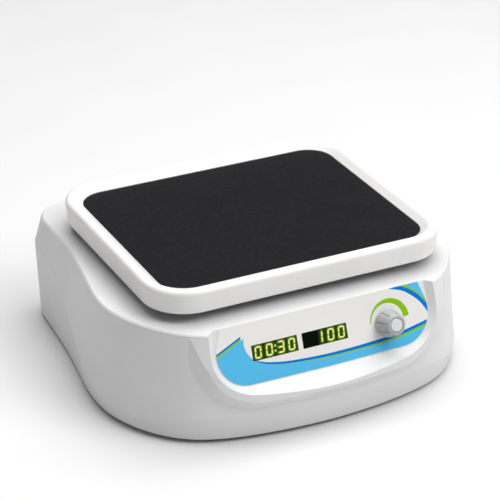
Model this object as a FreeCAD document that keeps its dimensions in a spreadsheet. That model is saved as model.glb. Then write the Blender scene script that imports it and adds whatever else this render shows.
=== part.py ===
import FreeCAD, Part
import math
import os
import re
from FreeCAD import Placement, Rotation, Vector

# Orbital shaker.  Millimetres, +Z up, front (control panel) towards -Y.
# Origin: middle of the overall box, on the bench under the rubber feet.

DOC = FreeCAD.newDocument("OrbitalShaker")
SHEET = DOC.addObject("Spreadsheet::Sheet", "Dims")
DIMS = {
    # housing
    "foot_gap": 4.0,          # bench to the lower edge of the housing
    "deck_level": 100.0,      # top deck
    "wall": 3.0,              # moulded wall
    "deck_rear": 151.6,
    "deck_edge": 1.3,         # bevel round the deck
    "foot_rear": 155.1,
    "rear_radius": 30.0,
    "base_thick": 2.0,
    "collar_rise": 2.5,
    "main_opening": 18.0,
    "idler_opening": 17.0,
    # control panel
    "panel_front": -123.3,    # top edge of the panel, at the deck
    "panel_lean": 20.5,
    "lip_stand": 6.2,         # bezel face stands this far off the wall
    "lip_fade": 72.0,         # and sinks into it from this level to the deck
    "lip_deck": -0.5,
    "overlay_thick": 0.5,
    "overlay_gap": 0.8,
    "window_wide": 41.3,
    "window_high": 13.0,
    "window_drop": 25.9,      # window centres below the panel's top edge
    "time_middle": -45.9,
    "speed_middle": 0.0,
    "knob_middle": 58.5,
    "knob_drop": 28.3,
    "knob_root": 11.8,
    "knob_nose": 9.1,
    "knob_long": 15.5,
    "knob_stand": 1.2,
    "grip_wide": 0.6,
    "grip_long": 12.6,
    "grip_start": 2.0,
    "grip_deep": 0.7,
    "grip_turn": 28.0,
    "rim_round": 4.4,         # outer upper edge of the tray, and its inner ridge
    "ridge_round": 9.4,
    "push_travel": 0.7,
    "board_depth": 12.0,
    "board_thick": 1.6,
    # tray
    "tray_middle": 6.0,
    "carrier_middle": 4.5,
    "tray_wide": 275.0,
    "tray_deep": 233.0,
    "tray_bottom": 110.0,
    "tray_top": 130.8,
    "tray_corner": 40.0,
    "rim_wide": 16.0,
    "rim_ridge": 8.5,         # outer face to the top of the inner slope
    "rim_flare": 2.5,         # how far the wall draws in at its foot
    "rim_lip": 0.6,           # inner edge above the mat
    "mat_level": 124.4,
    "mat_thick": 2.0,
    "rim_skirt": 5.2,         # rim wall below the plate seat
    "plate_thick": 3.0,
    "plate_gap": 0.4,
    # drive
    "axis_back": 14.0,        # main axis
    "orbit": 9.5,             # 19 mm orbit
    "crank_pin": 4.0,
    "pin_top": 114.6,
    "shaft": 6.0,
    "chassis_level": 70.0,
    "chassis_thick": 3.0,
    "pulley_level": 40.0,
    "pulley_high": 10.0,
    "pulley_big": 50.0,
    "pulley_small": 15.0,
    "belt_gap": 0.3,
    "belt_thick": 2.0,
    "motor_left": -95.0,
    "motor_back": 75.0,
    "motor_round": 30.0,
    "carrier_level": 115.4,
    "carrier_thick": 4.0,
    "idler_side": 85.0,
    "idler_front": -40.0,     # idler axes, measured from the main axis
    "idler_rear": 78.0,
    "pivot": 1.2,             # rocker pivot stub, radius
    "running": 0.05,          # radial running clearance
}
for row, (alias, value) in enumerate(DIMS.items(), start=1):
    SHEET.set("A%d" % row, alias)
    SHEET.set("B%d" % row, str(value))
    SHEET.setAlias("B%d" % row, alias)
DOC.recompute()
NAMES = re.compile(r"\b(" + "|".join(sorted(DIMS, key=len, reverse=True)) + r")\b")
D = DIMS
NODES = []

PANEL = Placement(Vector(0, D["panel_front"], D["deck_level"]),
                  Rotation(Vector(1, 0, 0), 90 - D["panel_lean"]))


# ---------------------------------------------------------------- helpers
def bind(obj, prop, formula):
    obj.setExpression(prop, NAMES.sub(lambda m: "Dims." + m.group(0), str(formula)))


def node(obj, label):
    obj.Label = label
    NODES.append(obj)
    return obj


def placed(obj, x, y, z, turn=None):
    if turn:
        obj.Placement = Placement(Vector(), Rotation(Vector(*turn[0]), turn[1]))
    for axis, formula in zip("xyz", (x, y, z)):
        bind(obj, "Placement.Base." + axis, formula)
    return obj


def cylinder(name, radius, height, x=0, y=0, z=0, turn=None):
    obj = DOC.addObject("Part::Cylinder", name)
    bind(obj, "Radius", radius)
    bind(obj, "Height", height)
    return placed(obj, x, y, z, turn)


def cone(name, radius1, radius2, height, x=0, y=0, z=0, turn=None):
    obj = DOC.addObject("Part::Cone", name)
    bind(obj, "Radius1", radius1)
    bind(obj, "Radius2", radius2)
    bind(obj, "Height", height)
    return placed(obj, x, y, z, turn)


def box(name, wide, deep, high, x=0, y=0, z=0):
    """Box centred on x and y, standing on z."""
    obj = DOC.addObject("Part::Box", name)
    bind(obj, "Length", wide)
    bind(obj, "Width", deep)
    bind(obj, "Height", high)
    return placed(obj, "%s - (%s) / 2" % (x, wide), "%s - (%s) / 2" % (y, deep), z)


def fused(name, parts):
    if len(parts) == 1:
        return parts[0]
    obj = DOC.addObject("Part::MultiFuse", name)
    obj.Shapes = parts
    return obj


def cut(name, base, tool):
    obj = DOC.addObject("Part::Cut", name)
    obj.Base = base
    obj.Tool = tool
    return obj


def common(name, first, second):
    obj = DOC.addObject("Part::Common", name)
    obj.Base = first
    obj.Tool = second
    return obj


def new_body(name, placement=None):
    body = DOC.addObject("PartDesign::Body", name)
    if placement:
        body.Placement = placement
    return body


def sketch_on(body, name, level=0, edges=(), plane="XY_Plane"):
    """Sketch parallel to one of the body's own planes, `level` above it."""
    sketch = body.newObject("Sketcher::SketchObject", name)
    support = [f for f in body.Origin.OriginFeatures if f.Role == plane][0]
    sketch.AttachmentSupport = [(support, "")]
    sketch.MapMode = "FlatFace"
    bind(sketch, "AttachmentOffset.Base.z", level)
    sketch.addGeometry(list(edges), False)
    return sketch


def pad(body, name, length, level=0, edges=()):
    sketch = sketch_on(body, name + "_outline", level, edges)
    feature = body.newObject("PartDesign::Pad", name)
    feature.Profile = sketch
    bind(feature, "Length", length)
    sketch.Visibility = False
    return feature


def pocket(body, name, depth, level=0, edges=()):
    """Pocket that goes down (-Z of the body) from its sketch."""
    sketch = sketch_on(body, name + "_outline", level, edges)
    feature = body.newObject("PartDesign::Pocket", name)
    feature.Profile = sketch
    bind(feature, "Length", depth)
    sketch.Visibility = False
    return feature


def loft(body, name, low_level, low_edges, high_level, high_edges, kind="Additive"):
    low = sketch_on(body, name + "_low", low_level, low_edges)
    high = sketch_on(body, name + "_high", high_level, high_edges)
    feature = body.newObject("PartDesign::%sLoft" % kind, name)
    feature.Profile = low
    feature.Sections = [high]
    feature.Ruled = True
    return feature


def revolve(body, name, points):
    """Solid of revolution about the body's Z axis from (radius, height) corners."""
    corners = [Vector(r, z, 0) for r, z in points]
    edges = [Part.LineSegment(a, b) for a, b in zip(corners, corners[1:] + corners[:1])]
    sketch = sketch_on(body, name + "_profile", 0, edges, "XZ_Plane")
    feature = body.newObject("PartDesign::Revolution", name)
    feature.Profile = sketch
    feature.ReferenceAxis = (sketch, ["V_Axis"])
    feature.Angle = 360.0
    sketch.Visibility = False
    return feature


def ring(x, y, radius):
    return [Part.Circle(Vector(x, y, 0), Vector(0, 0, 1), radius)]


def rounded(corners, grow=0.0):
    """Edges of a convex outline given anticlockwise as (x, y, corner radius)."""
    count = len(corners)
    points = [Vector(x, y, 0) for x, y, _ in corners]
    sides = []
    for i in range(count):
        step = (points[(i + 1) % count] - points[i]).normalize()
        sides.append((points[i] + Vector(step.y, -step.x, 0) * grow, step))
    moved = []
    for i in range(count):
        (p, u), (q, w) = sides[i - 1], sides[i]
        cross = u.x * w.y - u.y * w.x
        along = ((q.x - p.x) * w.y - (q.y - p.y) * w.x) / cross
        moved.append(p + u * along)
    starts, ends, arcs = [], [], []
    for i in range(count):
        u, w = sides[i - 1][1], sides[i][1]
        radius = corners[i][2] + grow if corners[i][2] else 0.0
        turn = math.acos(max(-1.0, min(1.0, u.dot(w))))
        reach = radius * math.tan(turn / 2)
        start, end = moved[i] - u * reach, moved[i] + w * reach
        if radius:
            inward = (w - u).normalize()
            middle = moved[i] + inward * (radius / math.cos(turn / 2) - radius)
            arcs.append(Part.Arc(start, middle, end))
        else:
            arcs.append(None)
        starts.append(start)
        ends.append(end)
    edges = []
    for i in range(count):
        if arcs[i]:
            edges.append(arcs[i])
        a, b = ends[i], starts[(i + 1) % count]
        if (b - a).Length > 1e-6:
            edges.append(Part.LineSegment(a, b))
    return edges


def rectangle(wide, high, radius=0.0, x=0.0, y=0.0):
    w, h = wide / 2, high / 2
    return rounded([(x - w, y - h, radius), (x + w, y - h, radius),
                    (x + w, y + h, radius), (x - w, y + h, radius)])


def mirrored(half):
    """Close a half outline, given anticlockwise on the +X side, across X = 0."""
    left = [(-x, y, r) for x, y, r in reversed(half) if x > 0]
    return list(half) + left


# ---------------------------------------------------------------- housing
# Each station of the flank and front: deck x, y; foot x, y; outward lean of
# the wall and undercut of the skirt (mm per mm of height).
STATIONS = (
    (145.6, 70.0, 152.5, 74.5, 0.250, 0.015),
    (148.3, 46.0, 154.9, 48.0, 0.215, 0.040),
    (151.2, 26.5, 157.8, 27.0, 0.188, 0.070),
    (154.6, 5.1, 161.0, 5.0, 0.158, 0.105),
    (157.8, -14.1, 163.5, -13.0, 0.126, 0.140),
    (159.9, -36.0, 164.4, -34.0, 0.098, 0.172),
    (158.1, -55.6, 162.6, -56.0, 0.087, 0.192),
    (151.7, -75.0, 156.3, -76.0, 0.085, 0.200),
    (142.7, -92.3, 146.9, -94.5, 0.086, 0.200),
    (129.5, -109.5, 131.8, -113.4, 0.087, 0.200),
    (112.6, -124.6, 112.2, -127.8, 0.086, 0.200),
    (88.0, -134.8, 88.0, -136.8, 0.084, 0.200),
    (45.0, -142.9, 45.0, -144.6, 0.083, 0.200),
    (0.0, -145.8, 0.0, -147.4, 0.083, 0.200),
)
# Rear: outward lean of the wall and undercut of the skirt at the rear corner.
REAR_WALL, REAR_SKIRT, REAR_FACE = 0.235, 0.055, 0.14


def flank(which, rise, grow):
    """Right-hand flank points of the wall or skirt surface at a height."""
    deck = [Vector(s[0], s[1], 0) for s in STATIONS]
    deck.append(Vector(-STATIONS[-2][0], STATIONS[-2][1], 0))
    points = []
    for i, (xd, yd, xf, yf, lean, under) in enumerate(STATIONS):
        step = deck[i + 1] - deck[max(i - 1, 0)]
        out = Vector(-step.y, step.x, 0).normalize()
        if i == 0:
            out = Vector(1, 0, 0)
        if which == "wall":
            points.append(Vector(xd, yd, 0) + out * (lean * (D["deck_level"] - rise) + grow))
        else:
            points.append(Vector(xf, yf, 0) + out * (under * (rise - D["foot_gap"]) + grow))
    return points


def shell_edges(which, rise, grow=0.0):
    points = flank(which, rise, grow)
    start = points[0]
    if which == "wall":
        fall = D["deck_level"] - rise
        corner_x = STATIONS[0][0] + REAR_WALL * fall + grow
        rear = D["deck_rear"] + REAR_FACE * fall + grow
    else:
        corner_x = STATIONS[0][2] - 5.6 + REAR_SKIRT * (rise - D["foot_gap"]) + grow
        rear = D["foot_rear"] + grow
    corner = Vector(corner_x, rear, 0)
    up = (corner - start).normalize()
    turn = math.acos(max(-1.0, min(1.0, up.dot(Vector(-1, 0, 0)))))
    radius = D["rear_radius"] + grow
    reach = radius * math.tan(turn / 2)
    first = corner - up * reach
    last = corner + Vector(-1, 0, 0) * reach
    inward = (Vector(-1, 0, 0) - up).normalize()
    middle = corner + inward * (radius / math.cos(turn / 2) - radius)
    left = [Vector(-p.x, p.y, 0) for p in points[:-1]]
    curve = Part.BSplineCurve()
    curve.interpolate(Points=left + list(reversed(points)),
                      InitialTangent=Vector(up.x, -up.y, 0),
                      FinalTangent=Vector(up.x, up.y, 0))

    def flip(v):
        return Vector(-v.x, v.y, 0)
    return [curve,
            Part.LineSegment(start, first),
            Part.Arc(first, middle, last),
            Part.LineSegment(last, flip(last)),
            Part.Arc(flip(last), flip(middle), flip(first)),
            Part.LineSegment(flip(first), flip(start))]


def shell(name, grow):
    """Wall and skirt lofts; their overlap has the sweeping crease."""
    low, high = D["foot_gap"], D["deck_level"]
    made = []
    for which in ("wall", "skirt"):
        body = new_body(name + "_" + which)
        loft(body, name + "_" + which + "_loft",
             "foot_gap", shell_edges(which, low, grow),
             "deck_level", shell_edges(which, high, grow))
        made.append(body)
    return made


# Panel outlines in the panel's own frame: x across, y up from its top edge.
OVERLAY = mirrored([(0.0, -51.3, 1500.0), (97.0, -50.2, 27.0), (98.1, -18.5, 28.0),
                    (91.8, 0.0, 0.0)])
BEZEL = mirrored([(0.0, -77.2, 350.0), (95.5, -67.0, 58.0), (112.3, -25.0, 60.0),
                  (119.5, 25.0, 0.0)])
POCKET_DRAFT, LIP_DRAFT = math.tan(math.radians(50)), math.tan(math.radians(34))


def open_topped(outline, grow):
    """The same outline carried up past the deck."""
    (xt, yt, _) = [c for c in outline if c[0] > 0][-1]
    raised = [c for c in outline if c[1] < yt - 1e-6]
    half = [c for c in raised if c[0] >= 0]
    return rounded(mirrored(half + [(xt + 3.0, yt + 30.0, 0.0)]), grow)


outer_wall, outer_skirt = shell("outer", 0.0)
inner_wall, inner_skirt = shell("inner", -D["wall"])
lip_wall = new_body("lip_wall")
loft(lip_wall, "lip_wall_low", "foot_gap", shell_edges("wall", D["foot_gap"], D["lip_stand"]),
     "lip_fade", shell_edges("wall", D["lip_fade"], D["lip_stand"]))
loft(lip_wall, "lip_wall_high", "lip_fade", shell_edges("wall", D["lip_fade"], D["lip_stand"]),
     "deck_level", shell_edges("wall", D["deck_level"], D["lip_deck"]))
outer = common("outer_form", outer_wall, outer_skirt)

bezel_body = new_body("bezel_boss", PANEL)
BACK, FRONT = 14.0, 26.0
loft(bezel_body, "bezel_loft", -BACK, rounded(BEZEL, LIP_DRAFT * BACK),
     FRONT * 0.6, rounded(BEZEL, -LIP_DRAFT * FRONT * 0.6))
bezel = common("bezel_form", bezel_body, lip_wall)

pocket_body = new_body("panel_pocket", PANEL)
loft(pocket_body, "pocket_loft", 0, open_topped(OVERLAY, D["overlay_gap"]),
     FRONT, open_topped(OVERLAY, D["overlay_gap"] + POCKET_DRAFT * FRONT))
backing_body = new_body("panel_backing", PANEL)
loft(backing_body, "backing_loft", "-wall", open_topped(OVERLAY, D["wall"] + 1.0),
     FRONT, open_topped(OVERLAY, D["wall"] + 1.0 + POCKET_DRAFT * (FRONT + D["wall"])))
bevel_body = new_body("deck_bevel")
bevel_fall = D["deck_level"] - D["foot_gap"]
loft(bevel_body, "bevel_loft",
     "foot_gap", shell_edges("wall", D["deck_level"], bevel_fall - D["deck_edge"]),
     "deck_level", shell_edges("wall", D["deck_level"], -D["deck_edge"]))
shell_form = common("shell_form", fused("shell_blank", [outer, bezel]), bevel_body)
inner_form = common("inner_form", inner_wall, inner_skirt)
roof = box("roof_stop", 400, 400, 10, 0, 0, "deck_level - wall")
stops = fused("cavity_stops", [roof, backing_body])
cavity = cut("cavity", inner_form, stops)
shelled = cut("shelled", shell_form, cavity)
faced = cut("faced", shelled, pocket_body)

BOSSES = [(130, 129), (-130, 129), (134, -74), (-134, -74), (139, 30), (-139, 30)]
BOARD_POSTS = [(86, -9), (-86, -9), (80, -43), (-80, -43)]
IDLERS = {"left": ("-idler_side", "axis_back + idler_front"),
          "right": ("idler_side", "axis_back + idler_front"),
          "rear": ("0", "axis_back + idler_rear")}
AXES = [("0", "axis_back")] + list(IDLERS.values())

post_body = new_body("board_post_forms", PANEL)
pad(post_body, "board_posts", "board_depth - board_thick", "board_thick - board_depth",
    [e for x, y in BOARD_POSTS for e in ring(x, y, 3.2)])
solid_parts = [faced, post_body]
for i, (x, y) in enumerate(BOSSES):
    solid_parts.append(cylinder("boss_%d" % i, 4.6, "deck_level - foot_gap - base_thick - 1",
                                x, y, "foot_gap + base_thick"))
for i, (x, y) in enumerate(AXES):
    size = "idler_opening + 2.5" if i else "main_opening + 2.5"
    solid_parts.append(cylinder("collar_%d" % i, size, "collar_rise + 1",
                                x, y, "deck_level - 1"))
solid = fused("housing_solid", solid_parts)

panel_holes = new_body("panel_holes", PANEL)
window_edges = []
for x in ("time_middle", "speed_middle"):
    window_edges += rectangle(D["window_wide"] + 0.6, D["window_high"] + 0.6, 0.8,
                              D[x], -D["window_drop"])
pad(panel_holes, "window_holes", 12, -8,
    window_edges + ring(D["knob_middle"], -D["knob_drop"], 4.7))
pilots = new_body("pilot_holes", PANEL)
pad(pilots, "post_pilots", 7.5, "board_thick - board_depth - 0.5",
    [e for x, y in BOARD_POSTS for e in ring(x, y, 1.25)])
tools = [panel_holes, pilots]
for i, (x, y) in enumerate(AXES):
    tools.append(cylinder("opening_%d" % i, "idler_opening" if i else "main_opening",
                          20, x, y, "deck_level - 10"))
for i, (x, y) in enumerate(BOSSES):
    tools.append(cylinder("boss_pilot_%d" % i, 1.55, 16, x, y, "foot_gap + base_thick - 1"))
INLET_X, SWITCH_X, SOCKET_Z = 62, 20, 34
tools.append(box("inlet_hole", 28.4, 30, 20.4, INLET_X, "foot_rear", SOCKET_Z - 10.2))
tools.append(box("switch_hole", 20.6, 30, 14.6, SWITCH_X, "foot_rear", SOCKET_Z - 7.3))
upper_housing = node(cut("upper_housing", solid, fused("housing_tools", tools)),
                     "upper_housing")

# ---------------------------------------------------------------- base
plate_body = new_body("base_blank")
pad(plate_body, "base_sheet", "base_thick", "foot_gap",
    shell_edges("skirt", D["foot_gap"], -D["wall"] - 0.5))
FEET = [(120, 118), (-120, 118), (118, -82), (-118, -82)]
base_tools = []
for i, (x, y) in enumerate(BOSSES):
    base_tools.append(cylinder("base_hole_%d" % i, 1.75, 8, x, y, "foot_gap - 3"))
for i, (x, y) in enumerate(FEET):
    base_tools.append(cylinder("foot_hole_%d" % i, 3.3, 8, x, y, "foot_gap - 3"))
for i in range(7):
    base_tools.append(box("vent_%d" % i, 4, 46, 8, -27 + 9 * i, -55, "foot_gap - 3"))
base_plate = node(cut("base_plate", plate_body, fused("base_tools", base_tools)),
                  "base_plate")

foot_parts = []
for i, (x, y) in enumerate(FEET):
    foot_parts += [cone("foot_tread_%d" % i, 9.5, 11, 1.5, x, y, 0),
                   cylinder("foot_pad_%d" % i, 11, "foot_gap - 1.5", x, y, 1.5),
                   cylinder("foot_stem_%d" % i, 3, "base_thick + 1", x, y, "foot_gap - 0.5"),
                   cone("foot_barb_%d" % i, 4.6, 3, 2.5, x, y, "foot_gap + base_thick")]
rubber_feet = node(fused("rubber_feet", foot_parts), "rubber_feet")


def screws(label, spots, shank, length, head, head_high, up=True):
    """Socket-head screws.  Heads at z, shank away from the head."""
    made = []
    for i, (x, y, z) in enumerate(spots):
        lower = "%s - (%s)" % (z, head_high) if up else z
        shank_z = z if up else "%s - (%s)" % (z, length)
        name = "%s_%d" % (label, i)
        whole = fused(name + "_blank", [cylinder(name + "_head", head, head_high, x, y, lower),
                                        cylinder(name + "_shank", shank, length, x, y, shank_z)])
        key_z = "%s - 0.1" % lower if up else "%s + %s - 1.2" % (z, head_high)
        socket = cylinder(name + "_socket", "%s * 0.5" % head, 1.3, x, y, key_z)
        made.append(cut(name, whole, socket))
    return node(fused(label, made), label)


screws("housing_screws", [(x, y, "foot_gap") for x, y in BOSSES], 1.5, 14, 2.8, 1.8)

# ---------------------------------------------------------------- control panel
KNOB = (D["knob_middle"], -D["knob_drop"])


def window_pair(wide, high, radius):
    return [e for x in ("time_middle", "speed_middle")
            for e in rectangle(wide, high, radius, D[x], -D["window_drop"])]


overlay = new_body("panel_overlay", PANEL)
pad(overlay, "overlay_sheet", "overlay_thick", 0,
    rounded(OVERLAY) + window_pair(D["window_wide"] + 0.2, D["window_high"] + 0.2, 0.6)
    + ring(KNOB[0], KNOB[1], 5.0))
node(overlay, "panel_overlay")

lenses = new_body("display_lenses", PANEL)
pad(lenses, "lens_plates", "overlay_thick + 0.7", -0.7,
    window_pair(D["window_wide"], D["window_high"], 0.5))
node(lenses, "display_lenses")

modules = new_body("display_modules", PANEL)
pad(modules, "digit_blocks", "board_depth - board_thick - 1", "board_thick - board_depth",
    window_pair(D["window_wide"] - 1.3, D["window_high"] - 0.6, 0.3))
node(modules, "display_modules")

board = new_body("control_board", PANEL)
pad(board, "board_sheet", "board_thick", "-board_depth",
    rectangle(182, 41, 2, 0, -26) + [e for x, y in BOARD_POSTS for e in ring(x, y, 1.6)])
for name, wide, high, thick, x, y in (("processor", 14, 14, 1.4, -30, -20),
                                      ("driver", 18, 9, 2.2, 5, -34),
                                      ("header", 22, 6, 7.0, 36, -38),
                                      ("regulator", 10, 10, 3.0, -62, -30)):
    pad(board, name, thick + 0.2, "-board_depth - %s" % thick, rectangle(wide, high, 0.3, x, y))
node(board, "control_board")

board_screws = new_body("board_screws", PANEL)
pad(board_screws, "board_screw_heads", 1.6, "-board_depth - 1.6",
    [e for x, y in BOARD_POSTS for e in ring(x, y, 2.4)])
pad(board_screws, "board_screw_shanks", 6.5, "-board_depth - 0.1",
    [e for x, y in BOARD_POSTS for e in ring(x, y, 1.2)])
node(board_screws, "board_screws")

encoder = new_body("encoder_body", PANEL)
pad(encoder, "encoder_case", "board_depth - board_thick - 3.7", "board_thick - board_depth",
    rectangle(13, 13.5, 0.6, *KNOB))
pad(encoder, "encoder_bush", "3.7 + 3.0", -3.8, ring(KNOB[0], KNOB[1], 4.4))
pocket(encoder, "encoder_bore", "board_depth - board_thick + 2.5", 3.2,
       ring(KNOB[0], KNOB[1], 3.35))
node(encoder, "encoder_body")

nut = new_body("encoder_nut", PANEL)
hexagon = [(KNOB[0] + 6.9 * math.cos(math.radians(60 * i)),
            KNOB[1] + 6.9 * math.sin(math.radians(60 * i)), 0.0) for i in range(6)]
pad(nut, "nut_hexagon", 2.0, "overlay_thick", rounded(hexagon) + ring(KNOB[0], KNOB[1], 4.45))
node(nut, "encoder_nut")

plunger = new_body("encoder_plunger", PANEL)
pad(plunger, "plunger_sleeve", 10.8, -8.6,
    ring(KNOB[0], KNOB[1], 3.3) + ring(KNOB[0], KNOB[1], 2.3))
node(plunger, "encoder_plunger")

spindle = new_body("encoder_spindle", PANEL)
pad(spindle, "spindle_rod", 23.4, -8.4, ring(KNOB[0], KNOB[1], 2.25))
node(spindle, "encoder_spindle")

KNOB_FRAME = PANEL.multiply(Placement(Vector(KNOB[0], KNOB[1], 0), Rotation()))
back = D["overlay_thick"] + D["knob_stand"]
front = back + D["knob_long"]
root, nose = D["knob_root"], D["knob_nose"]
turned = new_body("knob_turned")
revolve(turned, "knob_profile", [
    (2.3, 5.0), (9.3, 5.0), (9.3, back), (root - 0.3, back), (root, back + 0.5),
    (root - 0.25, back + 2.5), (nose + 0.3, front - 2.8), (nose - 0.2, front - 1.8),
    (nose - 0.9, front - 0.8), (nose - 1.5, front - 0.2), (nose - 2.0, front), (5.9, front),
    (5.9, front - 1.1),
    (2.3, front - 1.1)])
plates = []
for i in range(4):
    obj = DOC.addObject("Part::Box", "grip_plate_%d" % i)
    bind(obj, "Length", 40)
    bind(obj, "Width", "grip_wide")
    bind(obj, "Height", "grip_long")
    turn = Rotation(Vector(0, 0, 1), 45 * i + D["grip_turn"])
    obj.Placement = Placement(turn.multVec(Vector(-20, -D["grip_wide"] / 2, 0))
                              + Vector(0, 0, back + D["grip_start"]), turn)
    plates.append(obj)
floor_cone = cone("grip_floor", root - D["grip_deep"], nose - D["grip_deep"], "knob_long", 0, 0, back)
grips = cut("grip_slots", fused("grip_plates", plates), floor_cone)
knob = cut("control_knob", turned, grips)
knob.Placement = KNOB_FRAME
node(knob, "control_knob")

cap = new_body("knob_cap", KNOB_FRAME)
revolve(cap, "cap_profile", [(0, front - 1.1), (5.4, front - 1.1), (5.4, front - 0.2),
                             (5.1, front), (0, front)])
node(cap, "knob_cap")

# ---------------------------------------------------------------- platform
TRAY_FORM = [(-D["tray_wide"] / 2, D["tray_middle"] - D["tray_deep"] / 2, D["tray_corner"]),
             (D["tray_wide"] / 2, D["tray_middle"] - D["tray_deep"] / 2, D["tray_corner"]),
             (D["tray_wide"] / 2, D["tray_middle"] + D["tray_deep"] / 2, D["tray_corner"]),
             (-D["tray_wide"] / 2, D["tray_middle"] + D["tray_deep"] / 2, D["tray_corner"])]
TRAY_SCREWS = [(56, -46), (-56, -46), (36, 52), (-36, 52)]
tray = new_body("platform_tray")
loft(tray, "tray_block", "tray_bottom", rounded(TRAY_FORM, -D["rim_flare"]), "tray_top", rounded(TRAY_FORM))
opening = pocket(tray, "tray_opening", "tray_top - tray_bottom", "tray_bottom",
                 rounded(TRAY_FORM, -D["rim_wide"]))
opening.Reversed = True
loft(tray, "rim_slope", "mat_level + rim_lip", rounded(TRAY_FORM, -D["rim_wide"]),
     "tray_top", rounded(TRAY_FORM, -D["rim_ridge"]), "Subtractive")
seat = pocket(tray, "plate_seat", "mat_level - mat_thick - tray_bottom", "tray_bottom",
              rounded(TRAY_FORM, -D["rim_skirt"]))
seat.Reversed = True
DOC.recompute()

plate = new_body("platform_plate")
pad(plate, "plate_sheet", "plate_thick", "mat_level - mat_thick - plate_thick",
    rounded(TRAY_FORM, -D["rim_skirt"] - D["plate_gap"]))
pocket(plate, "plate_screw_holes", 8, "mat_level - mat_thick",
       [e for x, y in TRAY_SCREWS for e in ring(x, y + D["carrier_middle"], 2.2)])
pocket(plate, "plate_screw_sinks", 2.1, "mat_level - mat_thick",
       [e for x, y in TRAY_SCREWS for e in ring(x, y + D["carrier_middle"], 4.1)])
node(plate, "platform_plate")


def edges_at(feature, test):
    return ["Edge%d" % (i + 1) for i, e in enumerate(feature.Shape.Edges) if test(e.BoundBox)]


def level_edges(feature, z, least_wide):
    return edges_at(feature, lambda b: abs(b.ZMin - z) < 1e-4 and abs(b.ZMax - z) < 1e-4
                    and max(abs(b.XMin), abs(b.XMax)) > least_wide)


def fillet(body, name, base, edges, radius):
    feature = body.newObject("PartDesign::Fillet", name)
    feature.Base = (base, edges)
    bind(feature, "Radius", radius)
    return feature


half = D["tray_wide"] / 2
rim_outer = edges_at(seat, lambda b: abs(b.ZMin - D["tray_top"]) < 1e-4
                     and (max(abs(b.XMin), abs(b.XMax)) > half - 0.01
                          or abs(b.YMin - (D["tray_middle"] - D["tray_deep"] / 2)) < 0.01
                          or abs(b.YMax - (D["tray_middle"] + D["tray_deep"] / 2)) < 0.01))
outer_round = fillet(tray, "rim_outer_round", seat, rim_outer, D["rim_round"])
DOC.recompute()
rim_inner = edges_at(outer_round, lambda b: abs(b.ZMin - D["tray_top"]) < 1e-4
                     and abs(b.ZMax - D["tray_top"]) < 1e-4
                     and max(abs(b.XMin), abs(b.XMax)) < half - D["rim_ridge"] + 0.01)
inner_round = fillet(tray, "rim_inner_round", outer_round, rim_inner, D["ridge_round"])
node(tray, "platform_tray")

mat = new_body("rubber_mat")
pad(mat, "mat_sheet", "mat_thick", "mat_level - mat_thick",
    rounded(TRAY_FORM, -D["rim_wide"] - 0.4))
node(mat, "rubber_mat")

screws("tray_screws", [(x, y + D["carrier_middle"], "mat_level - mat_thick - 2.1")
                       for x, y in TRAY_SCREWS], 2, 5.6, 3.8, 1.9, up=False)

carrier_body = new_body("carrier_blank")
pad(carrier_body, "carrier_sheet", "carrier_thick", "carrier_level",
    rounded([(x, y + D["carrier_middle"], r) for x, y, r in
             [(-106, -58, 16), (106, -58, 16), (34, 98, 16), (-34, 98, 16)]]))
hubs, bores = [carrier_body], []
for i, (x, y) in enumerate(AXES):
    hubs.append(cylinder("hub_%d" % i, 14, 8.6, x, y + " - orbit", "carrier_level - 8.4"))
    bores.append(cylinder("hub_bore_%d" % i, 11.05, 8.4, x, y + " - orbit",
                          "carrier_level - 8.5"))
for i, (x, y) in enumerate(TRAY_SCREWS):
    bores.append(cylinder("carrier_hole_%d" % i, 2.05, 10, x, "%s + carrier_middle" % y,
                          "carrier_level - 2"))
node(cut("carrier_plate", fused("carrier_solid", hubs), fused("carrier_bores", bores)),
     "carrier_plate")


def rings(label, spots):
    """Bearings: outer radius, bore radius, height at each spot."""
    made = []
    for i, (outer_r, bore_r, high, x, y, z) in enumerate(spots):
        name = "%s_%d" % (label, i)
        made.append(cut(name, cylinder(name + "_race", outer_r, high, x, y, z),
                        cylinder(name + "_bore", bore_r, "%s + 2" % high, x, y, "%s - 1" % z)))
    return node(fused(label, made), label)


rings("pin_bearings", [(11, "crank_pin + running", 7, x, y + " - orbit", "carrier_level - 7.4")
                       for x, y in AXES])

# ---------------------------------------------------------------- drive
AXIS = ("0", "axis_back")
crank = [cylinder("main_shaft", "shaft", 56, *AXIS, 38),
         cylinder("main_disc", 22, 8, *AXIS, 86),
         cylinder("main_pin", "crank_pin", "pin_top - 93", "0", "axis_back - orbit", 93)]
node(fused("main_crank", crank), "main_crank")

half_disc = cylinder("counter_sector", 42, 6.3, *AXIS, 79.6)
half_disc.Angle = 180.0
counter = fused("counter_solid", [half_disc, cylinder("counter_hub", 12, 6.3, *AXIS, 79.6)])
node(cut("counterweight", counter, cylinder("counter_bore", "shaft + 0.02", 12, *AXIS, 77)),
     "counterweight")

flange = fused("bearing_flange", [cylinder("flange_disc", 34, 4, *AXIS, "chassis_level + chassis_thick"),
                                  cylinder("flange_tube", 21, 24, *AXIS, 53.6)])
FLANGE_HOLES = [(20, 20), (-20, 20), (20, -20), (-20, -20)]
flange_tools = [cylinder("flange_bore", 16.05, 30, *AXIS, 52)]
for i, (x, y) in enumerate(FLANGE_HOLES):
    flange_tools.append(cylinder("flange_hole_%d" % i, 2.05, 12, x, "axis_back + %s" % y, 71))
node(cut("bearing_housing", flange, fused("flange_tools", flange_tools)), "bearing_housing")
rings("main_bearings", [(16, "shaft + running", 10, *AXIS, z) for z in (54, 66.5)])
screws("flange_screws", [(x, "axis_back + %s" % y, "chassis_level + chassis_thick + 4")
                         for x, y in FLANGE_HOLES], 2, 8, 3.6, 2.4, up=False)

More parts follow.
